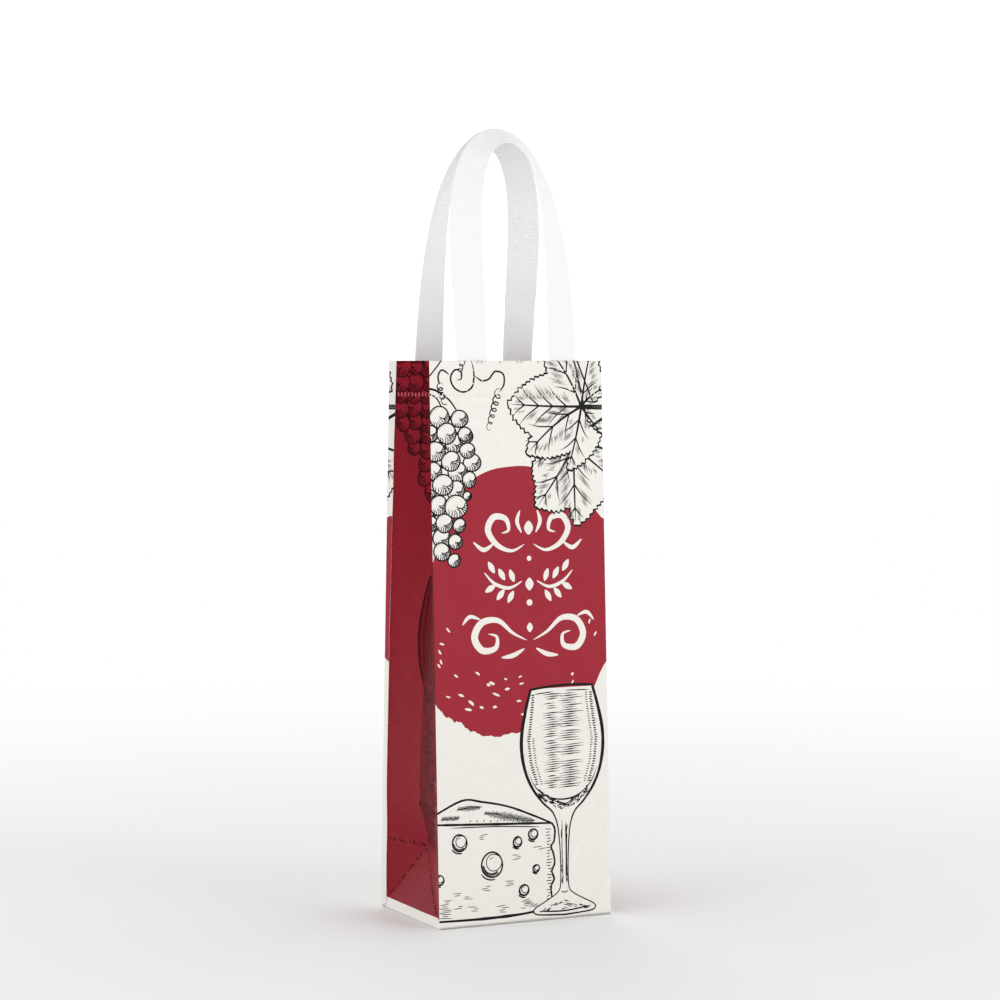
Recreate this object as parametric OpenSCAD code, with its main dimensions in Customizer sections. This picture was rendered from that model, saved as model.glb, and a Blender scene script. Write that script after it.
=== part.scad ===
// Wine gift bag: a tall standing bag of laminated non-woven sheet. One sheet is wrapped into a tube
// of a front, a back and two side gussets, and closed by a seam at the back left corner. Its lower
// end folds under as a base of two flaps and two tucks. The gussets fold inward, more at the rim
// than at the base. The rim is folded in as a hem, and two strap handles are welded inside it.
// Millimetres, +Z up, front facing -Y, origin at the middle of the base's underside.

/* [Bag] */
// Width across the front, corner to corner
bag_w = 120; // [100:1:150]
// Depth of the base, front to back
bag_d = 90; // [76:1:106]
// Height from the base to the rim
bag_h = 350; // [280:1:420]
// Depth of the open mouth at the rim, less than the base because the gussets fold in
mouth_d = 62; // [50:1:74]
// Height of the gusset's waist, where its middle crease stands out furthest
waist_z = 80; // [60:1:120]
// How far the gusset's middle crease is pushed in at the waist
waist_inset = 7; // [2:0.5:14]
// How late the crease is pushed in on its way from the waist up to the rim
inset_power = 1.6; // [1:0.1:2.5]

/* [Sheet and seams] */
// Thickness of the laminated sheet
sheet_t = 0.4; // [0.3:0.05:0.6]
// Clearance between one layer of sheet and the next
layer_gap = 0.1; // [0.05:0.01:0.15]
// Width of the back's edge where it folds over the left gusset as the seam
seam_w = 5; // [4:0.5:9]
// How far the base's two flaps overlap
base_overlap = 16; // [8:1:30]
// How far a gusset's tuck reaches in under the bag
tuck_reach = 36; // [20:1:37]
// Depth of the hem folded in at the rim
hem_h = 23; // [15:1:35]

/* [Handles] */
// Width of the strap
strap_w = 20; // [14:1:26]
// Thickness of the strap
strap_t = 0.8; // [0.6:0.1:1.2]
// Distance between the middles of one handle's two legs
leg_pitch = 63; // [50:1:74]
// Height of a handle above the rim
handle_rise = 146; // [110:1:190]
// Length of a strap's welded tail, below the rim
tail_h = 20; // [12:1:30]
// How late a handle's legs close in on their way up to its crown
arch_power = 4.5; // [3:0.1:7]
// Slope of the strap across the top of its loop, in degrees
crown_tilt = 30; // [15:1:45]
// Clearance between the two handles where they lean together
crown_gap = 1; // [0.6:0.1:3]

/* [Hidden] */

cream = [0.93, 0.91, 0.87];
wine_red = [0.52, 0.13, 0.18];
strap_white = [0.95, 0.95, 0.95];

half_w = bag_w / 2;
half_d = bag_d / 2;
// The front and back panels lean in by this angle, towards the narrower mouth
lean = atan((bag_d - mouth_d) / 2 / bag_h);
panel_len = bag_h / cos(lean);
// Thickness of a leaning sheet, measured level
skin_y = sheet_t / cos(lean);
// The diagonal folds from the base's corners meet the gusset's middle crease at this height
knee_z = half_d;
knee_rows = 4;
wall_rows = 8;
// The sheet on a gusset's half is built on columns at these shares of the half depth, one of them
// where the seam ends
column_shares = [1, 1 - seam_w / half_d, 0.75, 0.5, 0.25];

// Normal depths of the layers, counted from the outer face
gusset_depth = sheet_t + layer_gap;
gusset_hem_depth = gusset_depth + sheet_t + layer_gap;
hem_depth = sheet_t + layer_gap;
tail_depth = hem_depth + sheet_t + layer_gap;

// The strap's moving part starts this far above the rim
foot_rise = 0.8;

// The base's layers, from the floor up: the front flap, the back flap and the two tucks
base_step = sheet_t + layer_gap;
base_top = 3 * base_step;

// Half the bag's outer depth at height z
function half_depth(z) = half_d - (half_d - mouth_d / 2) * z / bag_h;

// How far the gusset's middle crease is pushed in where its two halves are flat: at the knee and rim
function flat_inset(z) = sqrt(pow(half_d, 2) - pow(half_depth(z), 2));

// How far the crease is pushed in at height z. Between the knee and the rim the halves bow instead.
function crease_inset(z) =
    z <= knee_z ? flat_inset(knee_z)
    : z < waist_z
        ? flat_inset(knee_z) + (waist_inset - flat_inset(knee_z)) * (z - knee_z) / (waist_z - knee_z)
        : waist_inset + (flat_inset(bag_h) - waist_inset)
            * pow((z - waist_z) / (bag_h - waist_z), inset_power);

// How far the gusset is folded in at y and z: a flat triangle below the knee, a V above it
function fold_in(y, z) =
    let (from_corner = 1 - abs(y) / half_depth(z))
    crease_inset(z) * min(from_corner, z / knee_z);

// The left wall's surface at a normal depth below its outer face
function wall_x(y, z, depth) = -half_w + fold_in(y, z) + depth * half_d / half_depth(z);

// Heights of the rows that a gusset's sheet and the seam are built on
wall_levels = concat(
    [0, seam_w],
    [for (i = [1:knee_rows]) knee_z * i / knee_rows],
    [for (i = [0:wall_rows]) waist_z + (bag_h - hem_h - waist_z) * i / wall_rows],
    [bag_h]
);

// A closed sheet between an outer and an inner grid of points, which have the same rows and columns
module sheet_between(outer, inner) {
    rows = len(outer);
    cols = len(outer[0]);
    count = rows * cols;
    middle = (cols - 1) / 2;
    function id(r, c) = r * cols + c;
    // The diagonals of the quads run up towards the middle column, along the folds
    function quad(r, c) = c < middle
        ? [[id(r, c), id(r, c + 1), id(r + 1, c + 1)], [id(r, c), id(r + 1, c + 1), id(r + 1, c)]]
        : [[id(r, c), id(r, c + 1), id(r + 1, c)], [id(r, c + 1), id(r + 1, c + 1), id(r + 1, c)]];
    grid = [for (r = [0:rows - 2], c = [0:cols - 2]) each quad(r, c)];
    rim = concat(
        [for (c = [0:cols - 1]) id(0, c)],
        [for (r = [1:rows - 1]) id(r, cols - 1)],
        [for (c = [cols - 2:-1:0]) id(rows - 1, c)],
        [for (r = [rows - 2:-1:1]) id(r, 0)]
    );
    walls = [for (i = [0:len(rim) - 1])
        let (a = rim[i], b = rim[(i + 1) % len(rim)])
        each [[b, a, a + count], [b, a + count, b + count]]];
    polyhedron(
        points = concat([for (row = outer) each row], [for (row = inner) each row]),
        faces = concat(
            grid,
            [for (f = grid) [f[2] + count, f[1] + count, f[0] + count]],
            walls
        )
    );
}

// A sheet lying on the left wall from one depth to a sheet's thickness deeper. Each row of spots
// holds [y, z] pairs, from front to back.
module wall_sheet(spots, depth) {
    sheet_between(
        [for (row = spots) [for (s = row) [wall_x(s[0], s[1], depth), s[0], s[1]]]],
        [for (row = spots) [for (s = row) [wall_x(s[0], s[1], depth + sheet_t), s[0], s[1]]]]
    );
}

// Where a gusset's sheet ends, just inside the front panel
function gusset_reach(z) = half_depth(z) - skin_y - layer_gap;

// The spots of one row of a gusset's sheet, from front to back
function gusset_row(z) =
    let (half = [for (share = column_shares) min(share * half_depth(z), gusset_reach(z))])
    concat(
        [for (y = half) [-y, z]],
        [[0, z]],
        [for (i = [len(half) - 1:-1:0]) [half[i], z]]
    );

module gusset_sheet() {
    wall_sheet([for (z = wall_levels) gusset_row(z)], gusset_depth);
}

module gusset_hem_sheet() {
    wall_sheet([for (z = [bag_h - hem_h, bag_h]) gusset_row(z)], gusset_hem_depth);
}

// The seam's flange on the left wall, along its front edge before it is moved to the back
module seam_sheet() {
    wall_sheet(
        [for (z = wall_levels)
            let (reach = seam_w * half_depth(z) / half_d)
            [[skin_y - half_depth(z), z], [reach - half_depth(z), z]]],
        0
    );
}

// Half the size of the space inside the tube at the base, front to back and side to side
base_half_d = half_depth(base_top) - skin_y - layer_gap;
base_half_w = half_w - gusset_depth - sheet_t - layer_gap - crease_inset(knee_z) * base_top / knee_z;

module base_flap() {
    translate([-base_half_w, -base_half_d, 0])
        cube([2 * base_half_w, base_half_d + base_overlap / 2, sheet_t]);
}

// A gusset's tuck, folded in over the flaps, with its corners cut along the diagonal folds
module base_tuck() {
    translate([-base_half_w, 0, 2 * base_step]) linear_extrude(sheet_t) polygon([
        [0, -base_half_d],
        [tuck_reach, tuck_reach - base_half_d],
        [tuck_reach, base_half_d - tuck_reach],
        [0, base_half_d]
    ]);
}

// Places children in the front panel's leaning frame, at a depth below its outer face
module on_front(depth) {
    translate([0, -half_d, 0]) rotate([-lean, 0, 0]) translate([0, depth, 0]) children();
}

module panel_sheet() {
    on_front(0) translate([-half_w, 0, 0]) cube([bag_w, sheet_t, panel_len]);
}

// The hem stops short of the gussets' own hems at both ends
hem_side = crease_inset(bag_h) * tail_depth / half_depth(bag_h)
    + (gusset_hem_depth + sheet_t + 2 * layer_gap) * half_d / half_depth(bag_h);

module hem_sheet() {
    on_front(hem_depth) translate([hem_side - half_w, 0, panel_len - hem_h])
        cube([bag_w - 2 * hem_side, sheet_t, hem_h]);
}

module strap_tail(side) {
    on_front(tail_depth)
        translate([side * leg_pitch / 2 - strap_w / 2, 0, panel_len - tail_h])
        cube([strap_w, strap_t, tail_h]);
}

// The strap's centreline above the rim: an arch whose legs close in towards its crown
foot_y = -half_depth(bag_h) + (tail_depth + strap_t / 2) / cos(lean);
crown_y = -(strap_w * cos(crown_tilt) + strap_t * sin(crown_tilt) + crown_gap) / 2;
crown_z = handle_rise - strap_w / 2 * sin(crown_tilt) - strap_t / 2;
// How fast the strap turns towards its crown, and how late it leans back
twist_power = 1.1;
lean_power = 1.5;
strap_steps = 24;

// s runs from -1 at the left foot, over 0 at the crown, to 1 at the right foot
function strap_middle(s) =
    let (
        turn = 90 * pow(1 - abs(s), 2),
        share = pow(sin(turn), 2 / arch_power),
        start_lean = tan(lean) * crown_z,
        y = foot_y + start_lean * share + (crown_y - foot_y - start_lean) * pow(share, lean_power)
    )
    [sign(s) * leg_pitch / 2 * cos(turn), y, bag_h + share * crown_z];

function unit(v) = v / norm(v);

// The strap's four corners at s: its outer edge turns from sideways at the foot to inward at the crown
function strap_ring(s) =
    let (
        step = 0.001,
        mid = strap_middle(s),
        tangent = unit(strap_middle(s + step) - strap_middle(s - step)),
        turn = 90 * pow(1 - abs(s), twist_power),
        aim = [sign(s) * cos(turn), sin(turn) * cos(crown_tilt), sin(turn) * sin(crown_tilt)],
        across = unit(aim - (aim * tangent) * tangent),
        out = cross(tangent, across)
    )
    [for (corner = [[1, 1], [-1, 1], [-1, -1], [1, -1]])
        mid + across * corner[0] * strap_w / 2 + out * corner[1] * strap_t / 2];

module strap_loop() {
    foot = 1 - sqrt(asin(pow(foot_rise / crown_z, arch_power / 2)) / 90);
    rings = [for (i = [-strap_steps:strap_steps]) strap_ring(foot * i / strap_steps)];
    last = len(rings) - 1;
    polyhedron(
        points = [for (ring = rings) each ring],
        faces = concat(
            [[3, 2, 1, 0]],
            [for (r = [0:last - 1], k = [0:3])
                let (a = 4 * r + k, b = 4 * r + (k + 1) % 4)
                each [[a, b, b + 4], [a, b + 4, a + 4]]],
            [[for (k = [0:3]) 4 * last + k]]
        )
    );
}

module to_back() {
    mirror([0, 1, 0]) children();
}

module to_right() {
    mirror([1, 0, 0]) children();
}

module front_panel() { color(cream) panel_sheet(); }
module back_panel() { color(cream) to_back() panel_sheet(); }
module left_gusset() { color(wine_red) gusset_sheet(); }
module right_gusset() { color(wine_red) to_right() gusset_sheet(); }
module seam_flange() { color(cream) to_back() seam_sheet(); }
module base_front_flap() { color(cream) base_flap(); }
module base_back_flap() { color(cream) translate([0, 0, base_step]) to_back() base_flap(); }
module base_left_tuck() { color(cream) base_tuck(); }
module base_right_tuck() { color(cream) to_right() base_tuck(); }
module front_hem() { color(cream) hem_sheet(); }
module back_hem() { color(cream) to_back() hem_sheet(); }
module left_gusset_hem() { color(wine_red) gusset_hem_sheet(); }
module right_gusset_hem() { color(wine_red) to_right() gusset_hem_sheet(); }
module front_handle_left_tail() { color(strap_white) strap_tail(-1); }
module front_handle_right_tail() { color(strap_white) strap_tail(1); }
module back_handle_left_tail() { color(strap_white) to_back() strap_tail(-1); }
module back_handle_right_tail() { color(strap_white) to_back() strap_tail(1); }
module front_handle() { color(strap_white) strap_loop(); }
module back_handle() { color(strap_white) to_back() strap_loop(); }

front_panel();
back_panel();
left_gusset();
right_gusset();
seam_flange();
base_front_flap();
base_back_flap();
base_left_tuck();
base_right_tuck();
front_hem();
back_hem();
left_gusset_hem();
right_gusset_hem();
front_handle_left_tail();
front_handle_right_tail();
back_handle_left_tail();
back_handle_right_tail();
front_handle();
back_handle();
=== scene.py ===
import random
from functools import partial
from math import atan, ceil, copysign, cos, exp, hypot, pi, radians, sin, sqrt, tan

import bpy
import numpy as np
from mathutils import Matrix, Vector
from mathutils.geometry import delaunay_2d_cdt


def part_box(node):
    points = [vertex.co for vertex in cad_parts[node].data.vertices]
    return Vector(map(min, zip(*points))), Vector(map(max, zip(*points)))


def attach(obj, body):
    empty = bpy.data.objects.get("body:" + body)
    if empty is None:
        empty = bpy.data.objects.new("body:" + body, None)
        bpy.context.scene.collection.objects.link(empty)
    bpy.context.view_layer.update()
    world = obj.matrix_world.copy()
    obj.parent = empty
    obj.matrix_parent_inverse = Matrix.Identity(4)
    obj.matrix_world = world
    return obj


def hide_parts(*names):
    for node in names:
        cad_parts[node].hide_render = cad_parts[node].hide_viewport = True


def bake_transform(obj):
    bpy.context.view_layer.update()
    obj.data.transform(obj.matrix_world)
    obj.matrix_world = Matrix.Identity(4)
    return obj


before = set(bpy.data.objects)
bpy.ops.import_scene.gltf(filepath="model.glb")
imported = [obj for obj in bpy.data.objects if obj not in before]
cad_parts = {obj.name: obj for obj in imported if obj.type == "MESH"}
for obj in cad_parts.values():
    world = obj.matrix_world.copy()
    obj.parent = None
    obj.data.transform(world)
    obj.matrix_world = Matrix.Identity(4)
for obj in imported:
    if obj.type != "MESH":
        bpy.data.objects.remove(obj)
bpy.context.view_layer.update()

# Lengths below are in millimetres in the row's frame. Meshes are built in metres.
MM = 0.001

# ---------------------------------------------------------------- camera

AZIMUTH, DROP = -26, 2.78
camera_data = bpy.data.cameras.new("Camera")
camera = bpy.data.objects.new("Camera", camera_data)
bpy.context.scene.collection.objects.link(camera)
camera.location = (-0.7935, -1.634, 0.35)
camera.rotation_euler = (radians(90 - DROP), 0, radians(AZIMUTH))
camera_data.lens = 103.3
camera_data.sensor_width = 36
camera_data.clip_start, camera_data.clip_end = 0.05, 50
bpy.context.scene.camera = camera

# ---------------------------------------------------------------- the bag's shape

front_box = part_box("front_panel")
HALF_W = (front_box[1][0] - front_box[0][0]) / 2 / MM
HALF_D = -front_box[0][1] / MM
BAG_H = front_box[1][2] / MM
HALF_MOUTH = HALF_D - (front_box[1][1] - front_box[0][1]) / MM
SHEET, GAP = 0.4, 0.1
HEM, SEAM = 23.0, 5.0
HEM_LINE = BAG_H - HEM

# a gusset is flat at the knee, folded a little at the waist and fully at the rim
KNEE = HALF_D
WAIST, WAIST_INSET, INSET_POWER = 80.0, 7.0, 1.6

# the radii of the sheets' edges: at the bag's corners, over the rim and under at the foot
CORNER, LIP, FOOT = 0.8, SHEET + GAP / 2, 0.8
ARC = CORNER * pi / 4

# how far the front and back stand out, what the rim adds, and the height at which it is all there
BOW, BOW_RIM, BOW_FROM = 1.2, 3.0, 60

STRAP_W, STRAP_T, TAIL = 20.0, 0.8, 20.0
RISE, LEG_X, ARCH, TILT, CROWN_GAP = 146.0, 31.5, 4.5, radians(30), 1.0

TURN = 6.28  # a whole turn, near enough for a random start
SLANT = 0.7071  # the sine of 45 degrees


def ease(t):
    """From 0 to 1, level at both ends."""
    t = np.clip(t, 0, 1)
    return t * t * (3 - 2 * t)


def grids(a, b):
    """Both as number arrays of one shape."""
    return np.broadcast_arrays(np.asarray(a, float), np.asarray(b, float))


def half_depth(z):
    return HALF_D - (HALF_D - HALF_MOUTH) * z / BAG_H


def crease_inset(z):
    """How far in the gusset's middle crease lies at height z."""
    knee = sqrt(HALF_D**2 - half_depth(KNEE) ** 2)
    rim = sqrt(HALF_D**2 - HALF_MOUTH**2)
    up = WAIST_INSET + (rim - WAIST_INSET) * np.clip((z - WAIST) / (BAG_H - WAIST), 0, 1.2) ** INSET_POWER
    return knee + (up - knee) * ease((z - KNEE) / (WAIST - KNEE))


def soft_min(a, b, k):
    h = np.clip(0.5 + 0.5 * (b - a) / k, 0, 1)
    return b + (a - b) * h - k * h * (1 - h)


def fold_in(y, z):
    """How far the gusset is folded in: a soft V that ends in a flat triangle under the knee."""
    hd = half_depth(z)
    soft, cut = 2.2, 0.8
    reach = np.sqrt(hd * hd + soft * soft) - cut
    from_corner = np.clip(1 - (np.sqrt(y * y + soft * soft) - cut) / reach, 0, 1)
    return crease_inset(z) * np.maximum(soft_min(from_corner, np.maximum(z, 0) / KNEE, 0.05), 0)


def edge_arc(s, length):
    """Distance along and below the flat for a strip of this length with rounded edges, at arc length s."""
    flat = length - 2 * CORNER
    total = flat + 2 * ARC
    s = s / length * total
    near = np.clip((ARC - s) / ARC, 0, 1.3) * pi / 4
    far = np.clip((s - ARC - flat) / ARC, 0, 1.3) * pi / 4
    along = CORNER + np.clip(s - ARC, 0, flat) - CORNER * np.sin(near) + CORNER * np.sin(far)
    below = CORNER * (1 - np.cos(near)) + CORNER * (1 - np.cos(far))
    return along, below


def wave(a, b, seed):
    """A gentle unevenness, from about -1 to 1."""
    r = random.Random(seed)
    total = 0
    for _ in range(5):
        fa, fb, start = r.uniform(0.01, 0.035), r.uniform(0.006, 0.022), r.uniform(0, TURN)
        total = total + np.sin(a * fa * 2 * pi + b * fb * 2 * pi + start)
    return total / 5


def lip(v):
    """Height and depth of the sheet at height v along it: it rolls inward over the rim and under the foot."""
    roll, under = LIP * pi / 2, FOOT * pi / 2
    over = np.clip((v - (BAG_H - roll)) / roll, 0, 1.2) * pi / 2
    tuck = np.clip((under - v) / under, 0, 1.2) * pi / 2
    wall = np.clip((v - under) / (BAG_H - roll - under), 0, 1)
    z = FOOT * (1 - np.sin(tuck)) + (BAG_H - LIP - FOOT) * wall + LIP * np.sin(over)
    return z, LIP * (1 - np.cos(over)) + FOOT * (1 - np.cos(tuck))


def panel_bow(u, z):
    """How far the front or back stands out between its edges: hardly at the base, most at the rim."""
    most = BOW + BOW_RIM * np.clip(z / BAG_H, 0, 1) ** 2
    return most * ease(z / BOW_FROM) * np.sin(pi * np.clip(u / (2 * HALF_W), 0, 1))


def panel_surface(u, z, turned):
    """The outer face of the front, or of the back where turned, at u across and z up."""
    along, below = edge_arc(u, 2 * HALF_W)
    from_edge = np.minimum(u, 2 * HALF_W - u)
    dents = 0.5 * ease(from_edge / 14) * wave(u, z, 5 + turned) * np.clip(z / 30, 0, 1)
    y = -half_depth(z) + below - panel_bow(along, z) - dents
    points = np.stack([-HALF_W + along, y, z], -1)
    if turned:
        points[..., :2] *= -1
    return points


def crease_marks(y, z):
    """Small ridges and wrinkles where the sheet has been folded flat and opened again."""
    hd = half_depth(z)
    # across at the knee, slanting down from it to the foot's corners, and up the middle
    creases = (
        (z - KNEE, y, 0.32, 1),
        ((hd - np.abs(y)) * SLANT - z * SLANT, z, 0.28, np.clip((HALF_D + 6 - z) / 6, 0, 1)),
        (np.abs(y), z, 0.25, np.clip((z - KNEE) / 10, 0, 1)),
    )
    marks = 0
    for dist, along, deep, live in creases:
        ridge = np.exp(-((dist / 0.7) ** 2))
        ripple = np.exp(-((dist / 2.0) ** 2)) * np.sin(along * 3.6 + 2 * np.sin(along * 0.9))
        marks = marks + live * (-deep * ridge + 0.12 * ripple)
    puff = np.exp(-(((z - 24) / 14) ** 2)) * np.cos(np.clip(y / hd, -1, 1) * pi / 2)
    return marks + 0.5 * puff


def gusset_surface(g, z, right, over=False):
    """The outer face of a gusset at g from its front edge (its back edge on the right) and z up."""
    hd = half_depth(z)
    along, below = edge_arc(g, 2 * HALF_D)
    t = along / (2 * HALF_D)
    y = (2 * t - 1) * hd
    x = -HALF_W + fold_in(y, z) + below
    quiet = np.clip(np.minimum(g, 2 * HALF_D - g) / 6, 0, 1)
    x = x - quiet * (crease_marks(y, z) + 0.35 * wave(g, z, 11 + right))
    if not right and not over:
        x = x + (SHEET + GAP) * np.clip((y + hd * 0.6) / (hd * 0.9), 0, 1)
    points = np.stack([x, y, z], -1)
    if right:
        points[..., :2] *= -1
    return points


def seam_surface(s, z):
    """The back's edge where it turns the corner and lies over the left gusset."""
    return gusset_surface(2 * HALF_D - s, z, False, over=True)


def unit(v):
    return v / np.maximum(np.linalg.norm(v, axis=-1, keepdims=True), 1e-12)


def normals_of(surface, a, b, out):
    e = 0.05
    return unit(np.cross(surface(a + e, b) - surface(a - e, b), surface(a, b + e) - surface(a, b - e))) * out


def face_normals(place, a, v, out):
    """The outer face's normals. At a sheet's foot, where it has rolled under, they point down."""
    n = normals_of(place, a, v, out)
    n[(v < 0.01) & (n[:, 2] > 0)] *= -1
    return n


def laid(surface, out, hem=False):
    """A sheet's outer face on a surface, rolled in at the rim and under at the foot, or its hem inside it."""

    def place(a, v):
        a, v = grids(a, v)
        z, deep = lip(v)
        if hem:
            deep = 2 * LIP - deep + 0.12 * (1 - np.clip((v - HEM_LINE) / 3, 0, 1))
        z_on = np.minimum(z, BAG_H - 0.02)
        p = surface(a, z_on)
        p = p - normals_of(surface, a, z_on, out) * deep[..., None]
        p[..., 2] = z
        return p

    return place


# ---------------------------------------------------------------- materials


def linear(rgb):
    """A screen colour, 0 to 255, as linear light."""
    return tuple(c / 12.92 if c < 0.04045 else ((c + 0.055) / 1.055) ** 2.4 for c in (v / 255 for v in rgb))


class Nodes:
    """A material's nodes, made one expression at a time."""

    def __init__(self, name):
        self.material = bpy.data.materials.new(name)
        self.material.use_nodes = True
        self.tree = self.material.node_tree
        self.tree.nodes.clear()
        self.out = self.tree.nodes.new("ShaderNodeOutputMaterial")
        self.shader = self.tree.nodes.new("ShaderNodeBsdfPrincipled")
        self.tree.links.new(self.shader.outputs[0], self.out.inputs[0])

    def add(self, kind, inputs=(), **settings):
        node = self.tree.nodes.new(kind)
        for key, value in settings.items():
            setattr(node, key, value)
        for key, value in dict(inputs).items():
            self.put(node.inputs[key], value)
        return node

    def put(self, socket, value):
        if hasattr(value, "links"):
            self.tree.links.new(value, socket)
        else:
            socket.default_value = value

    def math(self, operation, a, b=0.0):
        return self.add("ShaderNodeMath", {0: a, 1: b}, operation=operation).outputs[0]

    def spread(self, value, low, high):
        return self.add("ShaderNodeMapRange", {"Value": value, "To Min": low, "To Max": high}).outputs[0]

    def sheet_xy(self):
        uv = self.add("ShaderNodeUVMap", uv_map="sheet").outputs[0]
        split = self.add("ShaderNodeSeparateXYZ", {0: uv})
        return uv, split.outputs[0], split.outputs[1]

    def noise(self, vector, scale, detail=3.0, rough=0.5):
        inputs = {"Vector": vector, "Scale": scale, "Detail": detail, "Roughness": rough}
        return self.add("ShaderNodeTexNoise", inputs).outputs[0]

    def ripple(self, value, pitch):
        return self.math("SINE", self.math("MULTIPLY", value, 2 * pi / pitch))

    def bump(self, height, distance):
        node = self.add("ShaderNodeBump", {"Height": height, "Distance": distance})
        self.put(self.shader.inputs["Normal"], node.outputs[0])

    def tint(self, colour, other, amount):
        node = self.add("ShaderNodeMix", {"Factor": amount}, data_type="RGBA")
        node.inputs[6].default_value = (*colour, 1)
        node.inputs[7].default_value = (*other, 1)
        self.put(self.shader.inputs["Base Color"], node.outputs[2])


def film(name, rgb, emboss=1.0, rough=0.36, fade=0.035, shine=0.25, coat=0.0):
    """Printed film over non-woven: the bonds below show through it as fine diagonal rows."""
    m = Nodes(name)
    uv, x, y = m.sheet_xy()
    row_pitch, bead_pitch = 0.00185, 0.0034
    rows = m.ripple(m.math("ADD", x, y), row_pitch)
    beads = m.ripple(m.math("SUBTRACT", x, y), bead_pitch)
    height = m.math("MULTIPLY", m.spread(rows, 0.0, 1.0), m.spread(beads, 0.45, 1.0))
    slack = m.noise(uv, 42.0, 2.0)
    height = m.math("ADD", m.math("MULTIPLY", height, 0.55), m.math("MULTIPLY", slack, 1.6))
    m.bump(height, 0.00006 * emboss)
    cloudy = m.noise(uv, 130.0, 4.0, 0.6)
    colour = linear(rgb)
    m.tint(colour, tuple(c * (1 - fade * 2.4) for c in colour), cloudy)
    m.put(m.shader.inputs["Roughness"], m.spread(m.noise(uv, 320.0, 4.0, 0.65), rough - 0.08, rough + 0.1))
    m.shader.inputs["Specular IOR Level"].default_value = shine
    m.shader.inputs["Coat Weight"].default_value = coat
    m.shader.inputs["Coat Roughness"].default_value = 0.22
    return m.material


def felt(name, rgb, dots=1.0):
    """White non-woven: fine fibres held by rows of small pressed points."""
    m = Nodes(name)
    uv, x, y = m.sheet_xy()
    pitch = 0.00155 * 1.41
    a, b = m.ripple(m.math("ADD", x, y), pitch), m.ripple(m.math("SUBTRACT", x, y), pitch)
    points = m.math("POWER", m.spread(m.math("MULTIPLY", a, b), 0.0, 1.0), 2.4)
    drawn_out = m.add("ShaderNodeMapping", {"Vector": uv, "Scale": (1.0, 0.35, 1.0)}).outputs[0]
    fibre = m.noise(drawn_out, 2600.0, 6.0, 0.7)
    height = m.math("SUBTRACT", m.math("MULTIPLY", fibre, 0.22), m.math("MULTIPLY", points, 0.9 * dots))
    m.bump(height, 0.00013)
    colour = linear(rgb)
    m.tint(colour, tuple(c * 0.86 for c in colour), m.math("MULTIPLY", points, 0.8 * dots))
    m.put(m.shader.inputs["Roughness"], m.spread(fibre, 0.5, 0.85))
    m.shader.inputs["Sheen Weight"].default_value = 0.25
    m.shader.inputs["Sheen Roughness"].default_value = 0.4
    return m.material


CREAM, RED, BLACK, GREY, DARK, PRESSED, PRESSED_RED, SHADED_WALL_RED, SHADED_BAND_RED, HIGHLIGHT_RED = range(10)
INKS = [
    film("cream_film", (242, 239, 232), 2.0),
    film("red_film", (160, 28, 48), 3.0),
    film("black_ink", (17, 15, 16), rough=0.45, fade=0.0, shine=0.15),
    film("grey_ink", (104, 100, 98), rough=0.45, fade=0.02, shine=0.15),
    film("dark_red_ink", (60, 8, 16), 3.0, 0.4, shine=0.03),
    film("pressed_cream", (231, 227, 218), rough=0.28),
    film("pressed_red", (190, 96, 110), 1.8, 0.3, shine=0.4, coat=0.08),
    # the gussets' red: the front's red ink, made darker as painted shade for the sides turned from the key
    # light
    film("shaded_wall_red_film", (143, 17, 35), 9.0, 0.36, shine=0.1),
    # painted shade: the darker red over the left gusset's half that turns towards the front corner
    film("shaded_band_red_film", (114, 13, 26), 9.0, 0.4, shine=0.04),
    # painted highlight: the pale pink of the film's sheen at the left gusset's front corner
    film("painted_highlight_red", (162, 60, 74), 2.0, 0.4, shine=0.2),
]
BACKING = felt("white_backing", (236, 235, 232))
STRAP = felt("white_strap", (247, 247, 248), 1.4)

# ---------------------------------------------------------------- drawing


def curve(points, steps=8, closed=False):
    """A smooth line through the points."""
    p = [np.array(q, float) for q in points]
    n = len(p)
    out = []
    for i in range(n if closed else n - 1):
        a, b, c, d = (p[(i + k) % n] if closed else p[min(max(i + k, 0), n - 1)] for k in (-1, 0, 1, 2))
        for k in range(steps):
            t = k / steps
            bend, swing = 2 * a - 5 * b + 4 * c - d, 3 * b - a - 3 * c + d
            out.append(0.5 * (2 * b + (c - a) * t + bend * t * t + swing * t**3))
    if not closed:
        out.append(p[-1])
    return out


def on_oval(at, rx, ry, t):
    return (at[0] + rx * cos(t), at[1] + ry * sin(t))


def arc(at, rx, ry, angles):
    return [on_oval(at, rx, ry, t) for t in angles]


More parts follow.
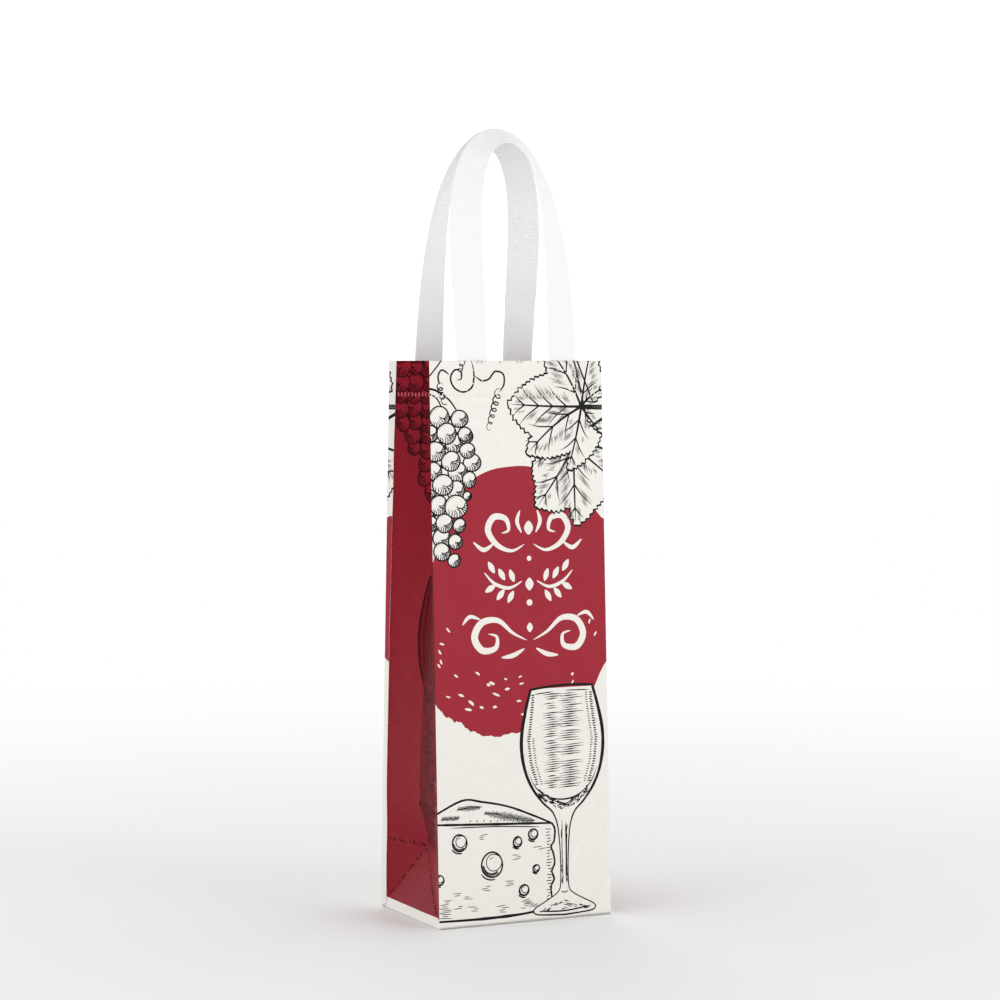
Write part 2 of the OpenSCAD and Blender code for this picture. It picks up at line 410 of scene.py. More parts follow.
class Drawing:
    """Flat shapes in paint order, each with an ink, in millimetres on the sheet."""

    def __init__(self, seed):
        self.shapes = []
        self.random = random.Random(seed)

    def fill(self, points, ink):
        self.shapes.append(([(float(x), float(y)) for x, y in points], ink))

    def block(self, x0, y0, x1, y1, ink):
        self.fill([(x0, y0), (x1, y0), (x1, y1), (x0, y1)], ink)

    def line(self, points, width, ink=BLACK, ends=(0.15, 0.15), rough=0.0):
        """A pen line whose width may be a list, thinner towards its ends by the shares in ends."""
        p = [np.array(q, float) for q in points]
        n = len(p)
        sides = []
        for i in range(n):
            d = p[min(i + 1, n - 1)] - p[max(i - 1, 0)]
            d /= max(np.hypot(*d), 1e-9)
            t = i / (n - 1)
            w = np.interp(t, np.linspace(0, 1, len(width)), width) if hasattr(width, "__len__") else width
            for share, at in ((ends[0], t), (ends[1], 1 - t)):
                if share and at < share:
                    w = w * (0.15 + 0.85 * at / share)
            w *= 1 + rough * (self.random.random() - 0.5)
            off = np.array((-d[1], d[0])) * w / 2
            sides.append((p[i] + off, p[i] - off))
        for (a, b), (c, d) in zip(sides, sides[1:]):
            self.fill([a, b, d, c], ink)

    def stroke(self, points, steps, width, ink=BLACK, **how):
        """A smooth pen line through the points."""
        self.line(curve(points, steps), width, ink, **how)

    def dash(self, at, angle, length, width, ink=BLACK, bend=0.0):
        """One short pen stroke with pointed ends."""
        c, s = cos(angle), sin(angle)

        def put(t, o):
            o += bend * (1 - (2 * t - 1) ** 2)
            x = (t - 0.5) * length
            return (at[0] + x * c - o * s, at[1] + x * s + o * c)

        w = width / 2
        outline = ((0, 0), (0.3, -w), (0.75, -w * 0.9), (1, 0), (0.75, w * 0.9), (0.3, w))
        self.fill([put(t, o) for t, o in outline], ink)

    def ring(self, at, rx, ry, width, inside, ink=BLACK, turn=0.0, n=34):
        """An outlined oval."""
        r = self.random
        a, b = r.uniform(0, TURN), r.uniform(0, TURN)

        def oval(shrink):
            out = []
            for k in range(n):
                t = 2 * pi * k / n
                wob = 1 + 0.02 * sin(2 * t + a) + 0.015 * sin(3 * t + b)
                x, y = (rx * wob - shrink) * cos(t), (ry * wob - shrink) * sin(t)
                c, s = cos(turn), sin(turn)
                out.append((at[0] + x * c - y * s, at[1] + x * s + y * c))
            return out

        self.fill(oval(0), ink)
        self.fill(oval(width), inside)

    def grape(self, at, rx, ry, line_ink=BLACK, body=CREAM, width=0.95, strokes=11):
        r = self.random
        turn = r.uniform(-0.5, 0.5)
        self.ring(at, rx, ry, width, body, line_ink, turn)
        light = r.uniform(2.0, 2.6)
        for k in range(strokes):
            t = light + pi + (k / (strokes - 1) - 0.5) * 2.7
            deep = 0.95 * cos((k / (strokes - 1) - 0.5) * 2.6) * r.uniform(0.75, 1.1)
            r0 = 0.95 - deep
            a = np.array(on_oval(at, rx * 0.93, ry * 0.93, t))
            b = np.array(on_oval(at, rx * r0, ry * r0, t - 0.5))
            side = np.array((b[1] - a[1], a[0] - b[0])) * 0.16
            if deep > 0.1:
                self.line([a, (a + b) / 2 + side, b], [0.8, 0.62, 0.3], line_ink, ends=(0, 0))
        for k in range(3):
            t = light + (k - 1) * 0.3
            self.dash(on_oval(at, rx * 0.78, ry * 0.78, t), t + pi / 2, rx * 0.3, 0.25, line_ink)

    def bunch(self, spots, shade=BLACK, **how):
        """Grapes in paint order, with shade in the gaps between neighbours."""
        for i, (x, y, r) in enumerate(spots):
            for u, v, q in spots[:i]:
                if hypot(u - x, v - y) < r + q + 2:
                    between = ((x + u) / 2, (y + v) / 2)
                    self.fill(arc(between, 1.6, 1.6, np.linspace(0, 2 * pi, 12)[:-1]), shade)
        vary = self.random.uniform
        for x, y, r in spots:
            self.grape((x, y), r * vary(1.02, 1.14), r * vary(1.06, 1.18), **how)

    def leaf(self, hub, tips, dips, body=CREAM):
        """A vine leaf: lobes with tips, dips between them, saw-toothed edges, veins and shading."""
        r = self.random
        hub = np.array(hub, float)
        tips = [np.array(t, float) for t in tips]
        dips = [np.array(d, float) for d in dips]
        edge = [dips[0]]
        for i, tip in enumerate(tips):
            for a, b in ((dips[i], tip), (tip, dips[i + 1])):
                span = np.hypot(*(b - a))
                count = max(3, int(span / 3.3))
                side = np.array((-(b - a)[1], (b - a)[0])) / span
                if np.dot(side, (a + b) / 2 - hub) < 0:
                    side = -side
                for k in range(1, count + 1):
                    t = k / count
                    mid = t - 0.3 / count
                    belly = 0.1 * span * sin(pi * mid)
                    q = a + (b - a) * mid + side * (belly + r.uniform(0.4, 1.7))
                    edge.append(q)
                    belly = 0.1 * span * sin(pi * t)
                    edge.append(a + (b - a) * t + side * (belly - r.uniform(0.2, 0.7)) * (k < count))
        self.fill(edge, body)
        for i, tip in enumerate(tips):
            d = tip - hub
            length = np.hypot(*d)
            d = d / length
            side = np.array((-d[1], d[0]))
            bow = r.uniform(-0.06, 0.06) * length

            def on(t):
                return hub + d * length * t + side * bow * sin(pi * t)

            for hand in (-1, 1):
                for t in np.arange(0.1, 0.86, 4.6 / length):
                    reach = min(length * 0.4, (1 - t) * length * 0.7)
                    v = d * cos(0.8 * hand) + side * sin(0.8 * hand)
                    inner, outer = r.uniform(0.05, 0.4), r.uniform(0.6, 0.98)
                    if r.random() < 0.22:
                        continue
                    for k in range(7):
                        root = on(t + k * 0.52 / length)
                        a = root + v * reach * (inner + r.uniform(0, 0.12))
                        b = root + v * reach * (outer - r.uniform(0, 0.25))
                        self.line([a, (a + b) / 2 + side * 0.2, b], 0.3, GREY, ends=(0.3, 0.5))
                for t in np.linspace(0.2, 0.78, max(2, int(length / 13))):
                    reach = min(length * 0.36, (1 - t) * length * 0.85)
                    v = d * cos(0.75 * hand) + side * sin(0.75 * hand)
                    a, b = on(t), on(t) + v * reach
                    mid = (a + b) / 2 + d * reach * 0.08
                    self.stroke([a, mid, b], 5, [1.05, 0.8, 0.4], ends=(0, 0.4))
            self.line([on(t) for t in np.linspace(0, 0.97, 14)], [1.7, 1.25, 0.8], ends=(0, 0.2))
        self.line(edge + [edge[0]], 1.25, ends=(0, 0), rough=0.5)

    def coil(self, path, radius, turns, width=1.1):
        """A springing tendril along a path."""
        line = curve(path, 14)
        n = len(line)
        out = []
        for i, p in enumerate(line):
            t = i / (n - 1)
            r = radius * (1 - 0.35 * t)
            out.append(on_oval(p, r * 1.1, r, t * turns * 2 * pi))
        self.line(out, [width, width * 0.8, width * 0.5])


def front_drawing():
    """The printed front: vine leaves, grapes, a painted red ground, a plain ornament, a glass and cheese."""
    d = Drawing(3)
    r = d.random
    # the red ground, brushed on
    ground = [(0, 226), (4, 240), (12, 258), (24, 274), (37, 281.5), (50, 284), (66, 284), (88, 278),
              (106, 264), (118, 251), (127, 244), (127, 166), (120, 160.5), (115, 153.5), (109, 143),
              (98, 131), (84, 123), (70, 120), (57, 119.5), (44, 117.5), (34, 118), (25, 121), (16, 127),
              (9, 130), (4, 134), (0, 139), (-4, 142), (-4, 222)]
    brushed_edge = []
    for i, p in enumerate(curve(ground, 7, closed=True)):
        low = max(0.0, min(1.0, (150 - p[1]) / 20))
        wobble = 0.55 * sin(i * 0.83) + 0.3 * sin(i * 2.1 + 1) + r.uniform(-0.3, 0.3)
        brushed_edge.append(p + np.array((0, 1)) * low * wobble * (1.3 if p[0] < 30 else 0.8))
    d.fill(brushed_edge, RED)
    for _ in range(118):
        x, y = r.uniform(2, 110), r.uniform(123, 186)
        floor = 120 + 16 * max(0, 1 - x / 26) + max(0, x - 70) * 0.55
        if y < floor + 5 or (14 < x < 106 and y > 157) or (x > 60 and y < 148):
            continue
        if r.random() < 0.25 + 0.5 * (y - 120) / 66:
            continue
        angle = radians(-38 + x * 0.75 + r.uniform(-22, 22))
        d.dash((x, y), angle, r.uniform(2.4, 6.0), r.uniform(0.9, 1.9), CREAM, r.uniform(-0.4, 0.4))
    for x, y, a in (
        (5, 176, -20), (3.5, 171, -60), (4.2, 165, -70), (112, 178, 60), (108, 186, 70), (14, 156, -35)
    ):
        d.dash((x, y), radians(a), 3.6, 1.2, CREAM)
    ornament(d)
    # grapes at the left edge, hanging from a stalk
    d.stroke([(-3, 333), (5, 331), (13, 325), (19, 316)], 8, [1.6, 1.2, 0.8])
    d.stroke([(-3, 330), (4, 327), (8, 320)], 6, [1.2, 0.8])
    d.stroke([(-3, 337), (4, 345), (10, 353)], 6, 0.9)
    behind = ((15, 299, 5.8), (27, 287, 5.6), (1.5, 282, 5.2), (17, 281.5, 6), (16, 270, 6),
              (4.5, 261, 5.8), (6, 241, 5.6), (0, 305, 5), (-1, 271, 5), (-1, 250, 5), (23, 303, 4.6))
    before = ((6, 315, 6.2), (19, 314, 5.5), (10.5, 305, 6.2), (22.5, 304.5, 4.5), (3, 294, 6),
              (24, 294.5, 4.7), (13, 288, 6), (25, 276.5, 4.8), (7.5, 273.5, 6.4), (23.5, 266.5, 3.0),
              (16, 260, 7), (8, 250, 5.8), (18, 248.5, 4.2), (15, 238.5, 4.8), (6, 232.5, 5.4),
              (14, 227, 4.4))
    d.bunch(behind + before)
    # tendrils
    d.stroke([(27, 351), (29, 343), (28, 334), (22, 330.5), (16, 333), (13.5, 339), (16.5, 344),
              (20.5, 343), (20.5, 338.5), (17.5, 338)], 9, 1.15)
    d.stroke([(29, 341), (34, 337.5), (39, 338.5), (43, 343), (48.5, 341.5), (49, 335), (45.5, 330)], 9, 1.15)
    d.stroke([(13, 341), (8, 344), (5.5, 340), (6.5, 335)], 8, 1.1)
    d.coil([(45.5, 331), (43, 323), (40.5, 315), (38, 307)], 2.3, 6.2)
    d.coil([(6.5, 335), (6.8, 331), (8, 327), (10, 322)], 1.7, 4.4, 1.0)
    d.coil([(20, 343), (21, 347), (24, 351)], 1.5, 3.0, 0.9)
    # the lower leaf, then the upper one over it, and their stalks
    d.stroke([(101, 304), (112, 309), (127, 317)], 8, [1.4, 2.2], ends=(0.1, 0))
    d.leaf((98, 297), [(68.5, 285), (70.5, 258.5), (99, 246.5), (127, 275)],
           [(88, 303), (71, 272), (95, 258), (112, 256), (125, 293)])
    d.leaf((104, 321), [(78, 360), (51.5, 323), (64.5, 291.5), (93.5, 281.5), (119, 304)],
           [(97, 360), (80, 342), (68.5, 303), (96, 293), (110, 290), (107, 317)])
    d.leaf((104, 321.5), [(122, 333), (112, 357)], [(113, 323.5), (119, 343), (98, 358)])
    for k in (0, 1, 2):
        d.stroke([(102, 320.6 + k * 0.8), (111, 319.6 + k), (127, 319.4 + k * 1.1)], 7, 1.0, ends=(0.1, 0))
    cheese(d)
    glass(d, 87.0, 3.0, 1.0)
    return d


def ornament(d):
    """Plain brushed scrolls and leaves in place of the printed words."""
    mid = 65

    def brush(points, most, least=0.7):
        """A stroke on the side given by hand, which swells in its middle."""
        line = curve([(mid + hand * x, y) for x, y in points], 10)
        swell = [sin(pi * i / (len(line) - 1)) ** 1.3 for i in range(len(line))]
        d.line(line, [least + (most - least) * s for s in swell], CREAM, ends=(0.05, 0.05))

    for hand in (-1, 1):
        # the top scroll
        brush([(3, 236), (12, 232), (22, 236), (28, 245), (24, 253), (16, 252), (14, 245), (19, 243)], 4.2)
        brush([(24, 237), (31, 233), (38, 238)], 2.8)
        brush([(5, 243), (8, 250), (6, 257)], 2.6)
        # the sprig
        brush([(5, 213), (14, 209), (24, 212), (31, 219)], 2.2)
        for x, y, a in (
            (12, 216.5, 70), (19, 217.5, 60), (26, 222, 60), (13, 203.5, -60), (20, 205, -50), (27, 209, -30)
        ):
            c, s = cos(radians(a)), sin(radians(a))
            leaf = [(x - 4.2 * c, y - 4.2 * s), (x - 1.9 * s, y + 1.9 * c),
                    (x + 4.2 * c, y + 4.2 * s), (x + 1.9 * s, y - 1.9 * c)]
            d.fill(curve([(mid + hand * u, v) for u, v in leaf], 6, closed=True), CREAM)
        # the bottom scroll
        scroll = [(2, 176), (12, 181), (22, 189), (33, 188), (38, 179), (33, 171), (24, 172), (23, 179),
                  (29, 181)]
        brush(scroll, 4.6)
        brush([(4, 171), (12, 167), (20, 166)], 3.0)
        brush([(34, 190), (41, 192), (46, 187)], 2.4)
    for y, size in ((246, 4.4), (211, 4.0), (184, 3.0)):
        lozenge = [(mid, y - size), (mid + size * 0.72, y), (mid, y + size), (mid - size * 0.72, y)]
        d.fill(curve(lozenge, 5, closed=True), CREAM)
    for y, size in ((199.5, 2.0), (227, 1.6)):
        d.fill(arc((mid, y), size, size, np.linspace(0, TURN, 17)[:-1]), CREAM)


def glass(d, mid, foot, k, body=CREAM, ink=BLACK, pen=1.0):
    """A stemmed glass over the point (mid, foot), k times as big, in strokes pen times as wide."""
    r = d.random
    side = [(22, 142.5), (25.5, 131), (28.6, 117), (29, 104), (26.5, 91), (21.5, 80), (14.5, 71), (8, 65),
            (4.6, 57), (3.3, 46), (2.7, 34), (2.7, 22), (3.6, 16), (7.5, 12.5), (14, 9), (20.5, 5.6),
            (21.8, 3.2), (18, 1.2), (0, 0)]

    def at(x, y):
        return (mid + x * k, foot + y * k)

    def stroke(points, steps, width, **how):
        d.stroke([at(x, y) for x, y in points], steps, width, ink, **how)

    left, right = (curve([at(hand * x, y) for x, y in side], 5) for hand in (-1, 1))
    d.fill(right + left[::-1][1:], body)
    heavy = [1.9, 2.3, 2.3, 1.8, 1.2, 0.9, 0.8, 0.75, 0.75, 0.8, 0.9, 1.1]
    for line in (left, right):
        d.line(line, [w * k for w in heavy], ink, ends=(0, 0), rough=0.12)
    stroke([(-22.6, 142), (-8, 143.6), (8, 144), (22.6, 143.2)], 6, 1.5 * k, ends=(0, 0))
    stroke([(-20, 139), (-6, 140.2)], 4, 0.7 * k)
    stroke([(2, 140.6), (20, 140.2)], 4, 0.7 * k)
    wine = [(-25, 92), (-19, 80.5), (-9, 74), (2, 72.6), (12, 75.5), (20, 82.5), (25, 93)]
    stroke(wine, 7, [0.5, 1.1 * k, 0.5])
    stroke([(-1.2, 60), (-1.6, 40), (-0.9, 20)], 7, 0.6 * pen)
    stroke([(1.3, 58), (1.5, 40), (1.2, 22)], 7, 1.1 * pen)
    stroke([(-2.4, 15), (0, 14), (2.6, 15)], 4, 0.7 * pen)
    stroke([(-18, 3.4), (0, 2.4), (19, 4.4)], 6, 1.0 * pen)
    # hatching across the bowl, shading at its sides, and strokes under it, up the stem and on the foot
    for row in range(41):
        y = 80 + row * 1.46
        for lo, hi in ((-13.0, -1.5), (-2.0, 13.5)):
            if r.random() < 0.06:
                continue
            a, b = lo + r.uniform(-2.2, 2.2), hi + r.uniform(-3.4, 2.4)
            hatch = [at(a, y), at((a + b) / 2, y + 0.35), at(b, y + r.uniform(0.2, 0.9))]
            d.line(hatch, r.uniform(0.6, 0.95) * pen, ink, ends=(0.2, 0.4))
    for row in range(38):
        y = 83 + row * 1.5
        wide = np.interp(y, [84, 96, 110, 135], [20.5, 24.3, 26, 22.5])
        for s in (-1, 1):
            d.dash(at(s * (wide - 1.8), y), r.uniform(-0.3, 0.3), r.uniform(2.0, 3.4), 0.85 * pen, ink)
            if y < 112 or s > 0:
                d.dash(at(s * (wide - 5.0), y), r.uniform(-0.3, 0.3), r.uniform(1.4, 2.6), 0.6 * pen, ink)
    for _ in range(110):
        t = r.uniform(-1, 1)
        x = 17 * t
        y = 70.0 + 8.5 * abs(t) ** 1.6 + r.uniform(-3.4, 0.9)
        d.dash(at(x, y), r.uniform(-0.5, 0.5) + 0.9 * t, r.uniform(1.8, 4.2), 0.72 * pen, ink)
    for _ in range(36):
        y = r.uniform(18, 60)
        d.dash(at(r.choice((-1, 1)) * r.uniform(1.2, 2.4), y), pi / 2, r.uniform(2, 6), 0.5 * pen, ink)
    for _ in range(46):
        x = r.uniform(-17, 17)
        y = 3 + (1 - abs(x) / 19) * r.uniform(0, 7)
        d.dash(at(x, y), -0.35 * copysign(1, x), r.uniform(1.8, 4.4), 0.5 * pen, ink)


def cheese(d):
    """A wedge of cheese with holes."""
    r = d.random
    top = [(-4, 70), (16.5, 79), (30, 77.5), (48, 73.5), (66, 66.5), (78.5, 61), (-4, 65)]
    face = [(-4, 65), (78.5, 61), (80.5, 57), (79.8, 50), (77.6, 46.5), (79.2, 42), (80, 36), (78, 31),
            (79.6, 26), (77.4, 21), (78.4, 12), (73, 8.6), (60, 6.4), (30, 5.4), (-4, 5.8)]
    d.fill(top, CREAM)
    d.fill(face, CREAM)
    d.stroke(top[:6], 5, 1.35, ends=(0, 0), rough=0.2)
    d.stroke([(-4, 65.2), (20, 64), (50, 62.6), (78, 61.2)], 6, [1.3, 1.7, 1.3], ends=(0, 0), rough=0.3)
    d.stroke([(8, 62.6), (40, 61.6), (70, 59.4)], 6, 0.7)
    d.stroke(face[1:11], 5, 1.35, ends=(0, 0), rough=0.3)
    d.stroke([(-4, 5.6), (30, 5.0), (60, 6.0), (76, 9.0)], 6, [1.5, 1.9, 1.2], ends=(0, 0), rough=0.3)
    for a, b, lift in ((3, 15, 68.6), (14, 30, 74.2), (32, 66, 70.5)):
        span = b - a
        for k in range(int(span / 0.85)):
            x = a + k * 0.85
            y = lift - (x - a) * (0.22 if a > 20 else 0.02)
            size = 1.9 + (2.1 if a > 20 else 0.7) * sin(pi * k * 0.85 / span)
            d.dash((x, y), 1.05, size * r.uniform(1.3, 2.1), 0.6)
            if k % 2:
                d.dash((x, y + r.uniform(-1, 1)), -0.12, r.uniform(2, 5), 0.5)
    for x in np.arange(22, 62, 4.6):
        d.dash((x, 66.4 - x * 0.03 + r.uniform(-0.4, 0.4)), 0.7, 1.6, 0.7)
    holes = ((14.5, 53, 5.4), (36.5, 38, 7.8), (54, 51, 3.5), (65, 55, 3.7), (67, 33.5, 2.7),
             (58.5, 20.5, 3.8), (0.6, 31, 3.4))
    for x, y, s in holes:
        d.ring((x, y), s, s * 1.06, 1.15, CREAM)
        for k in range(int(s * 2.6)):
            t = pi * (1.02 + 0.72 * k / (s * 2.6))
            wall = [on_oval((x, y), s * 0.9, s * 0.9, t), on_oval((x, y), s * 0.66, s * 0.66, t + 0.1)]
            d.line(wall, 0.6, ends=(0, 0))
        floor = (x + s * 0.17, y + s * 0.17)
        d.ring(floor, s * 0.7, s * 0.72, 0.62, CREAM)
        d.line(arc((x, y), s * 1.18, s * 1.2, np.linspace(3.7, 5.0, 9)), 0.95)
        d.line(arc(floor, s * 0.42, s * 0.42, np.linspace(1.6, 2.7, 6)), 0.4)
    grain = ((30, 57), (33, 25), (12, 22), (20, 19.5), (54, 43), (44, 12), (24, 13), (60, 12), (14, 14),
             (70, 47), (48, 27))
    for x, y in grain:
        for k in range(r.randint(2, 4)):
            d.dash((x + r.uniform(-2, 2), y - k * 1.3), r.uniform(-0.08, 0.12), r.uniform(3.5, 8), 0.5)
    for k in range(26):
        y = 10 + k * 1.9
        d.dash((77 - r.uniform(0, 1.6), y), r.uniform(-0.1, 0.4), r.uniform(2, 5.5), 0.6)
        if k < 10:
            at = (3 + r.uniform(0, 3), 7.4 + k * 1.2)
            d.dash(at, r.uniform(-0.1, 0.1), r.uniform(5, 12) - k * 0.4, 0.5)
            d.dash((70 - k * 1.2, 7.8 + k * 0.7), 0.28, r.uniform(4, 9), 0.5)


def weld_row(d, length, ink):
    """The hem's weld: short upright marks in a row."""
    pitch, w, h, at = 2.4, 0.42, 1.2, HEM_LINE + 1.5
    n = int(length / pitch)
    start = (length - (n - 1) * pitch) / 2
    for k in range(n):
        x = start + k * pitch
        d.fill([(x - w, at - h), (x + w * 0.6, at - h), (x + w, at + h), (x - w * 0.6, at + h)], ink)


def handle_welds(d):
    """The crossed welds that hold a handle's two ends, pressed through the sheet."""
    step, half, low = 2.1, 0.62, HEM_LINE + 4.5
    for mid in (HALF_W - LEG_X, HALF_W + LEG_X):
        for k in range(9):
            for j in range(k % 2, 7, 2):
                x, y = mid + (k - 4) * step, low + j * step
                d.fill([(x - half, y), (x, y - half), (x + half, y), (x, y + half)], PRESSED)


def wall_drawing(right):
    """A gusset: dark grapes and a glass printed over a red darkened as painted shade, and the cream margin at
    its foot.
    """
    d = Drawing(8 + right)
    r = d.random
    wide = 2 * HALF_D
    # the gusset's red ground, darker than the front's red as painted shade
    d.block(-8, 6.8, wide + 8, BAG_H + 8, SHADED_WALL_RED)
    if not right:
        # the half that turns towards the front corner is painted darker as shade, with bars of loose strokes
        d.block(0.5, 47, 44.6, BAG_H + 8, SHADED_BAND_RED)
        for row in range(46):
            length = r.uniform(12, 30)
            at = (r.uniform(2 + length / 2, 42 - length / 2), 50 + row * 2.0)
            if r.random() < 0.75:
                d.dash(at, r.uniform(-0.12, 0.12), length, r.uniform(0.9, 2.0), DARK)
    grapes = []
    for row in range(11):
        y = 268 + row * 8.6
        left = 50 - row * 4.6
        across = 55 + row * 5.4 - left
        n = max(1, round(across / 10))
        for k in range(n):
            x = left + (k + 0.5 + 0.25 * (row % 2)) * across / n
            grapes.append((x + r.uniform(-1, 1), y + r.uniform(-1.4, 1.4), 5.6 * r.uniform(0.88, 1.1)))
    d.bunch(grapes, shade=DARK, line_ink=DARK, body=SHADED_WALL_RED, width=0.85)
    # the glass is filled with the gusset's red, darkened as painted shade, and on the left with the band's
    # still darker painted shade red
    glass(d, 24.0, 68.0, 1.02, SHADED_WALL_RED if right else SHADED_BAND_RED, DARK, 1.35)
    # painted shade in the creases: dark dashes across at the knee, and down from its middle to both corners
    middle = (HALF_D, KNEE)
    for start, end, angle, count in (
        ((0, KNEE), (wide, KNEE), 1.2, 56),
        ((0, 0), middle, -0.5, 47),
        ((wide, 0), middle, 0.5, 47),
    ):
        for _ in range(count):
            t = r.uniform(0, 1)
            x, y = (a + (b - a) * t + r.uniform(-0.8, 0.8) for a, b in zip(start, end))
            if y > 9:
                d.dash((x, y), angle + r.uniform(-0.5, 0.5), r.uniform(1.2, 3.0), r.uniform(0.5, 0.95), DARK)
    # painted highlight in the folded front corner: pale pink strokes for the film's sheen there
    for _ in range(0 if right else 130):
        y = r.uniform(12, 92)
        x = r.uniform(0.5, 4 + 12 * exp(-(((y - 44) / 24) ** 2)))
        angle = r.choice((1.2, 1.9, 0.6)) + r.uniform(-0.3, 0.3)
        d.dash((x, y), angle, r.uniform(1.5, 5), r.uniform(0.4, 0.8), HIGHLIGHT_RED)
    weld_row(d, wide, PRESSED_RED)
    return d


# ---------------------------------------------------------------- meshes


def new_object(name, verts, faces, materials, face_slots, uvs, normals=None):
    """A smooth-shaded object whose points and sheet coordinates are given in millimetres."""
    mesh = bpy.data.meshes.new(name)
    mesh.from_pydata((verts * MM).tolist(), [], faces)
    for material in materials:
        mesh.materials.append(material)
    mesh.polygons.foreach_set("material_index", np.asarray(face_slots, dtype=np.int32))
    mesh.polygons.foreach_set("use_smooth", np.ones(len(mesh.polygons), dtype=bool))
    layer = mesh.uv_layers.new(name="sheet")
    corner = np.empty(len(mesh.loops), dtype=np.int32)
    mesh.loops.foreach_get("vertex_index", corner)
    layer.data.foreach_set("uv", (uvs * MM)[corner].ravel())
    mesh.update()
    if normals is not None:
        mesh.normals_split_custom_set_from_vertices(normals.tolist())
    obj = bpy.data.objects.new(name, mesh)
    bpy.context.scene.collection.objects.link(obj)
    return obj


def inside(shape, spots):
    """Which spots lie in the shape, by how often its outline winds round them."""
    wind = np.zeros(len(spots), dtype=int)
    x, y = spots[:, 0], spots[:, 1]
    for (x0, y0), (x1, y1) in zip(shape, np.roll(shape, -1, axis=0)):
        if y0 != y1:
            side = (x1 - x0) * (y - y0) - (x - x0) * (y1 - y0)
            wind += (y0 <= y) & (y < y1) & (side > 0)
            wind -= (y1 <= y) & (y < y0) & (side < 0)
    return wind != 0


def dense(points, step=2.5):
    """A closed outline with points along its long sides, so that it can follow a bent sheet."""
    out = []
    for (x0, y0), (x1, y1) in zip(points, points[1:] + points[:1]):
        n = ceil(max(hypot(x1 - x0, y1 - y0), 1e-6) / step)
        out += [(x0 + (x1 - x0) * k / n, y0 + (y1 - y0) * k / n) for k in range(n)]
    return out


def painted(drawing, bounds, columns, rows):
    """Triangles of a sheet, cut along the drawing's edges, each with the ink that lies on top there."""
    (u0, u1), (v0, v1) = bounds
    verts, edges, shapes = [], [], []

    def outline(points, closed=True):
        if closed:
            points = dense(points)
        start, n = len(verts), len(points)
        verts.extend(Vector(p) for p in points)
        edges.extend((start + k, start + (k + 1) % n) for k in range(n if closed else n - 1))

    outline([(u0, v0), (u1, v0), (u1, v1), (u0, v1)])
    for points, ink in drawing.shapes:
        shape = np.array(points)
        low, high = shape.min(0), shape.max(0)
        if high[0] > u0 and low[0] < u1 and high[1] > v0 and low[1] < v1:
            outline(points)
            shapes.append((shape, low, high, ink))
    for u in columns:
        if min(u - u0, u1 - u) < 1.5:
            outline([(u, v) for v in rows], closed=False)
        else:
            verts.extend(Vector((u, v)) for v in rows)
    flat, _, tris, _, _, _ = delaunay_2d_cdt(verts, edges, [], 0, 1e-4, False)
    flat = np.array([tuple(p) for p in flat])
    tris = np.array([list(t) for t in tris])
    middle = flat[tris].mean(1)
    keep = (middle[:, 0] > u0) & (middle[:, 0] < u1) & (middle[:, 1] > v0) & (middle[:, 1] < v1)
    tris, middle = tris[keep], middle[keep]
    order = np.argsort(middle[:, 1])
    tris, middle = tris[order], middle[order]
    inks = np.full(len(tris), CREAM)
    for shape, low, high, ink in shapes:
        a, b = np.searchsorted(middle[:, 1], (low[1], high[1]))
        near = a + np.flatnonzero((middle[a:b, 0] >= low[0]) & (middle[a:b, 0] <= high[0]))
        inks[near[inside(shape, middle[near])]] = ink
    used = np.unique(tris)
    index = np.full(len(flat), -1)
    index[used] = np.arange(len(used))
    return flat[used], index[tris].tolist(), inks.tolist()


def fine_steps(low, high, step, ends=True):
    """Even steps from low to high, with closer ones over the rounded ends where ends is set."""
    steps = list(np.arange(low, high + 1e-6, (high - low) / max(1, round((high - low) / step))))
    if ends:
        closer = [share * ARC * 1.35 for share in (0.25, 0.5, 0.75, 1.0)]
        steps += [low + e for e in closer] + [high - e for e in closer]
    return sorted(set(round(x, 4) for x in steps))


def sheet_piece(name, place, out, bounds, drawing, columns, rows):
    """A sheet with a printed outer face, a plain inner face and edges between them."""
    (u0, u1), (v0, v1) = bounds
    flat, tris, slots = painted(drawing, bounds, columns, rows)
    columns = [c for c in columns if u0 - 1e-6 <= c <= u1 + 1e-6]
    grid = np.array([(c, r) for r in rows for c in columns])
    ring = [(c, v0) for c in columns] + [(u1, r) for r in rows[1:]]
    ring = np.array(ring + [(c, v1) for c in columns[-2::-1]] + [(u0, r) for r in rows[-2:0:-1]])

    def laid_out(spots):
        return place(*spots.T), face_normals(place, *spots.T, out)

    outer, outer_n = laid_out(flat)
    under, under_n = laid_out(grid)
    edge, edge_n = laid_out(ring)
    side_n = unit(np.cross(np.roll(edge, -1, axis=0) - np.roll(edge, 1, axis=0), edge_n) * out)
    verts = np.concatenate([outer, under - under_n * SHEET, edge, edge - edge_n * SHEET])
    normals = np.concatenate([outer_n, -under_n, side_n, side_n])

    faces = [t if out > 0 else t[::-1] for t in tris]
    wide, first = len(columns), len(flat)
    for r in range(len(rows) - 1):
        for c in range(wide - 1):
            k = first + r * wide + c
            q = [k, k + 1, k + wide + 1, k + wide]
            faces.append(q[::-1] if out > 0 else q)
    n, first = len(ring), len(flat) + len(grid)
    for k in range(n):
        j = (k + 1) % n
        q = [first + k, first + n + k, first + n + j, first + j]
        faces.append(q if out > 0 else q[::-1])
    slots += [len(INKS)] * (len(faces) - len(slots))
    uvs = np.concatenate([flat, grid, ring, ring])
    return new_object(name, verts, faces, INKS + [BACKING], slots, uvs, normals)


def ride(obj, node):
    """A sheet of the bag's body, which stands in for its CAD node."""
    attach(obj, "bag")
    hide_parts(node)


def cut(obj, width, length, **more):
    """Takes a sheet and the flat size it was cut to, in millimetres, and does nothing with them."""


